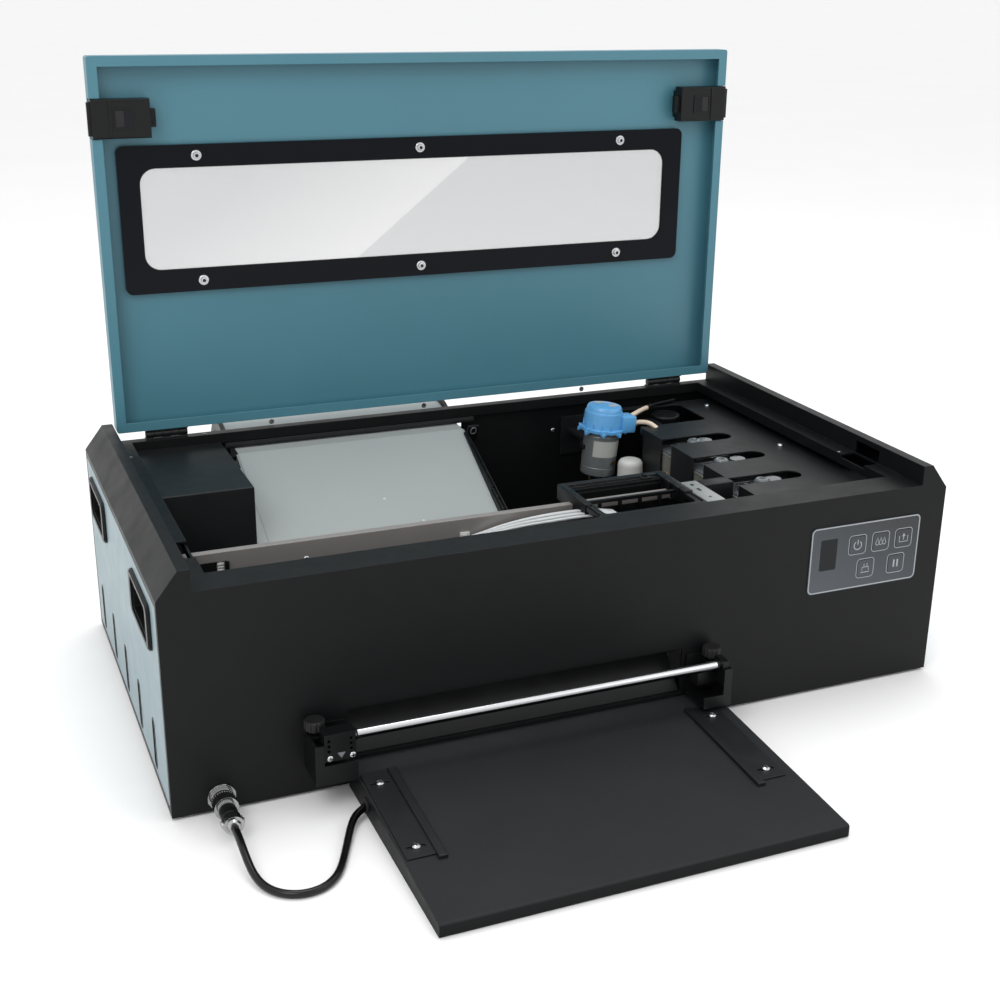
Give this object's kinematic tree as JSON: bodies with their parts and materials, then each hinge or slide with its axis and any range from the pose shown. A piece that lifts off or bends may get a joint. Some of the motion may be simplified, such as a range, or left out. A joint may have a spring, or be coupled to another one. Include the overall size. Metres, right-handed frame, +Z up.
{
  "type": "desktop film printer",
  "caption": "Desktop inkjet film printer: lidded sheet-metal case, print carriage on a beam, open ink bay, roll film path and heated front tray",
  "frame": {"origin": "middle of the footprint of the whole machine, at the surface it stands on", "axes": "+X to the operator's right, +Y to the back, +Z up"},
  "size_m": [0.7, 0.676, 0.5382],
  "materials": {
    "case_paint": "satin",
    "side_paint": "satin",
    "lid_paint": "satin",
    "black_sheet": "satin",
    "beam_steel": "brushed",
    "bright_steel": "polished",
    "black_plastic": "satin moulded",
    "gloss_black": "gloss",
    "rubber": "matte",
    "cable_jacket": "satin",
    "window": "clear",
    "clear_plastic": "translucent",
    "white_plastic": "satin",
    "pump_blue": "semi gloss",
    "motor_case": "satin",
    "film_plate": "satin",
    "film": "matte film",
    "label_panel": "gloss"
  },
  "bodies": {
    "chassis": {"base_pan": "case_paint", "feet": "rubber", "front_panel": "case_paint", "rear_panel": "case_paint", "left_side_frame": "case_paint", "right_side_frame": "case_paint", "side_inset_panels": "side_paint", "hand_grip_cups": "black_plastic", "electronics_cover": "black_sheet", "power_inlet": "black_plastic", "film_guide_plate": "film_plate", "film_web": "film", "roll_brackets": "black_sheet", "platen": "black_plastic", "carriage_beam": "beam_steel", "guide_rod": "bright_steel", "carriage_belt": "rubber", "ink_bay_cover": "black_sheet", "ink_tanks": "clear_plastic", "cleaning_bottle": "white_plastic", "capping_station": "white_plastic", "pump_head": "pump_blue", "pump_motor": "motor_case", "pump_bracket": "black_sheet", "pump_hoses": "white_plastic", "ink_tubes": "clear_plastic", "bar_brackets": "black_sheet", "heated_tray": "black_sheet", "connector_socket": "bright_steel", "cable_plug": "bright_steel", "tray_cable": "cable_jacket", "cable_grommet": "rubber", "control_overlay": "label_panel", "fixed_hinge_leaves": "black_sheet"},
    "lid": {"lid_shell": "lid_paint", "window_frame": "gloss_black", "window_pane": "window", "moving_hinge_leaves": "black_sheet", "latch_housings": "black_plastic"},
    "left_latch": {"left_latch_bolt": "black_plastic"},
    "right_latch": {"right_latch_bolt": "black_plastic"},
    "carriage_body": {"carriage": "black_plastic", "print_head": "motor_case"},
    "drive_pulley_body": {"drive_pulley": "bright_steel"},
    "idler_pulley_body": {"idler_pulley": "bright_steel"},
    "feed_roller_body": {"feed_roller": "rubber"},
    "film_roll_body": {"film_roll": "film"},
    "bar_sliders": {"bar_slider_blocks": "black_plastic"},
    "press_bar_body": {"press_bar": "bright_steel"},
    "left_knob": {"left_bar_knob": "black_plastic"},
    "right_knob": {"right_bar_knob": "black_plastic"},
    "left_guide": {"left_tray_guide": "black_sheet"},
    "right_guide": {"right_tray_guide": "black_sheet"},
    "pump_rotor_body": {"pump_rotor": "white_plastic"},
    "bottle_cap_body": {"bottle_cap": "black_plastic"},
    "key_power_body": {"key_power": "gloss_black"},
    "key_ink_body": {"key_ink": "gloss_black"},
    "key_feed_body": {"key_feed": "gloss_black"},
    "key_clean_body": {"key_clean": "gloss_black"},
    "key_pause_body": {"key_pause": "gloss_black"}
  },
  "joints": [
    {"name": "lid_hinge", "type": "hinge", "parent": "chassis", "child": "lid", "pos_m": [0, 0.246, 0.1914], "axis": [1, 0, 0], "range_deg": [0, 90]},
    {"name": "left_latch_slide", "type": "slide", "parent": "lid", "child": "left_latch", "axis": [-1, 0, 0], "range_m": [-0.003, 0.005]},
    {"name": "right_latch_slide", "type": "slide", "parent": "lid", "child": "right_latch", "axis": [1, 0, 0], "range_m": [-0.003, 0.005]},
    {"name": "carriage_slide", "type": "slide", "parent": "chassis", "child": "carriage_body", "axis": [1, 0, 0], "range_m": [-0.29, 0.006], "deforming": ["ink_tubes"]},
    {"name": "idler_pulley_spin", "type": "hinge", "parent": "chassis", "child": "idler_pulley_body", "pos_m": [-0.274, -0.011, 0.154], "axis": [0, 1, 0], "continuous": true},
    {"name": "drive_pulley_spin", "type": "hinge", "parent": "chassis", "child": "drive_pulley_body", "pos_m": [0.182, -0.011, 0.154], "axis": [0, 1, 0], "continuous": true},
    {"name": "film_roll_spin", "type": "hinge", "parent": "chassis", "child": "film_roll_body", "pos_m": [-0.098, 0.298, 0.142], "axis": [1, 0, 0], "continuous": true},
    {"name": "feed_roller_spin", "type": "hinge", "parent": "chassis", "child": "feed_roller_body", "pos_m": [-0.098, 0.0215, 0.086], "axis": [1, 0, 0], "continuous": true},
    {"name": "bar_lift", "type": "slide", "parent": "chassis", "child": "bar_sliders", "axis": [0, 0, 1], "range_m": [0, 0.004]},
    {"name": "press_bar_spin", "type": "hinge", "parent": "bar_sliders", "child": "press_bar_body", "pos_m": [-0.058, -0.154, 0.06], "axis": [1, 0, 0], "continuous": true},
    {"name": "left_knob_turn", "type": "hinge", "parent": "chassis", "child": "left_knob", "pos_m": [-0.239, -0.1398, 0.06], "axis": [0, 0, -1], "range_deg": [0, 1440]},
    {"name": "right_knob_turn", "type": "hinge", "parent": "chassis", "child": "right_knob", "pos_m": [0.111, -0.1398, 0.06], "axis": [0, 0, -1], "range_deg": [0, 1440]},
    {"name": "left_guide_slide", "type": "slide", "parent": "chassis", "child": "left_guide", "axis": [1, 0, 0], "range_m": [-0.005, 0.005]},
    {"name": "right_guide_slide", "type": "slide", "parent": "chassis", "child": "right_guide", "axis": [1, 0, 0], "range_m": [-0.005, 0.005]},
    {"name": "pump_rotor_spin", "type": "hinge", "parent": "chassis", "child": "pump_rotor_body", "pos_m": [0.165, 0.188, 0.163], "axis": [0.0872, 0, 0.9962], "continuous": true},
    {"name": "bottle_cap_turn", "type": "hinge", "parent": "chassis", "child": "bottle_cap_body", "pos_m": [0.247, 0.201, 0.15], "axis": [0, 0, 1], "range_deg": [0, 540]},
    {"name": "key_power_press", "type": "slide", "parent": "chassis", "child": "key_power_body", "axis": [0, 1, 0], "range_m": [0, 0.0006], "stiffness_N_per_m": 1500},
    {"name": "key_ink_press", "type": "slide", "parent": "chassis", "child": "key_ink_body", "axis": [0, 1, 0], "range_m": [0, 0.0006], "stiffness_N_per_m": 1500},
    {"name": "key_feed_press", "type": "slide", "parent": "chassis", "child": "key_feed_body", "axis": [0, 1, 0], "range_m": [0, 0.0006], "stiffness_N_per_m": 1500},
    {"name": "key_clean_press", "type": "slide", "parent": "chassis", "child": "key_clean_body", "axis": [0, 1, 0], "range_m": [0, 0.0006], "stiffness_N_per_m": 1500},
    {"name": "key_pause_press", "type": "slide", "parent": "chassis", "child": "key_pause_body", "axis": [0, 1, 0], "range_m": [0, 0.0006], "stiffness_N_per_m": 1500}
  ],
  "couplings": [
    {"joint": "idler_pulley_spin", "follows": "carriage_slide", "rad_per_m": 144.93},
    {"joint": "drive_pulley_spin", "follows": "carriage_slide", "rad_per_m": 144.93},
    {"joint": "feed_roller_spin", "follows": "film_roll_spin", "ratio": 7.2},
    {"joint": "left_knob_turn", "follows": "bar_lift", "rad_per_m": 6282.7},
    {"joint": "right_knob_turn", "follows": "bar_lift", "rad_per_m": 6282.7}
  ]
}
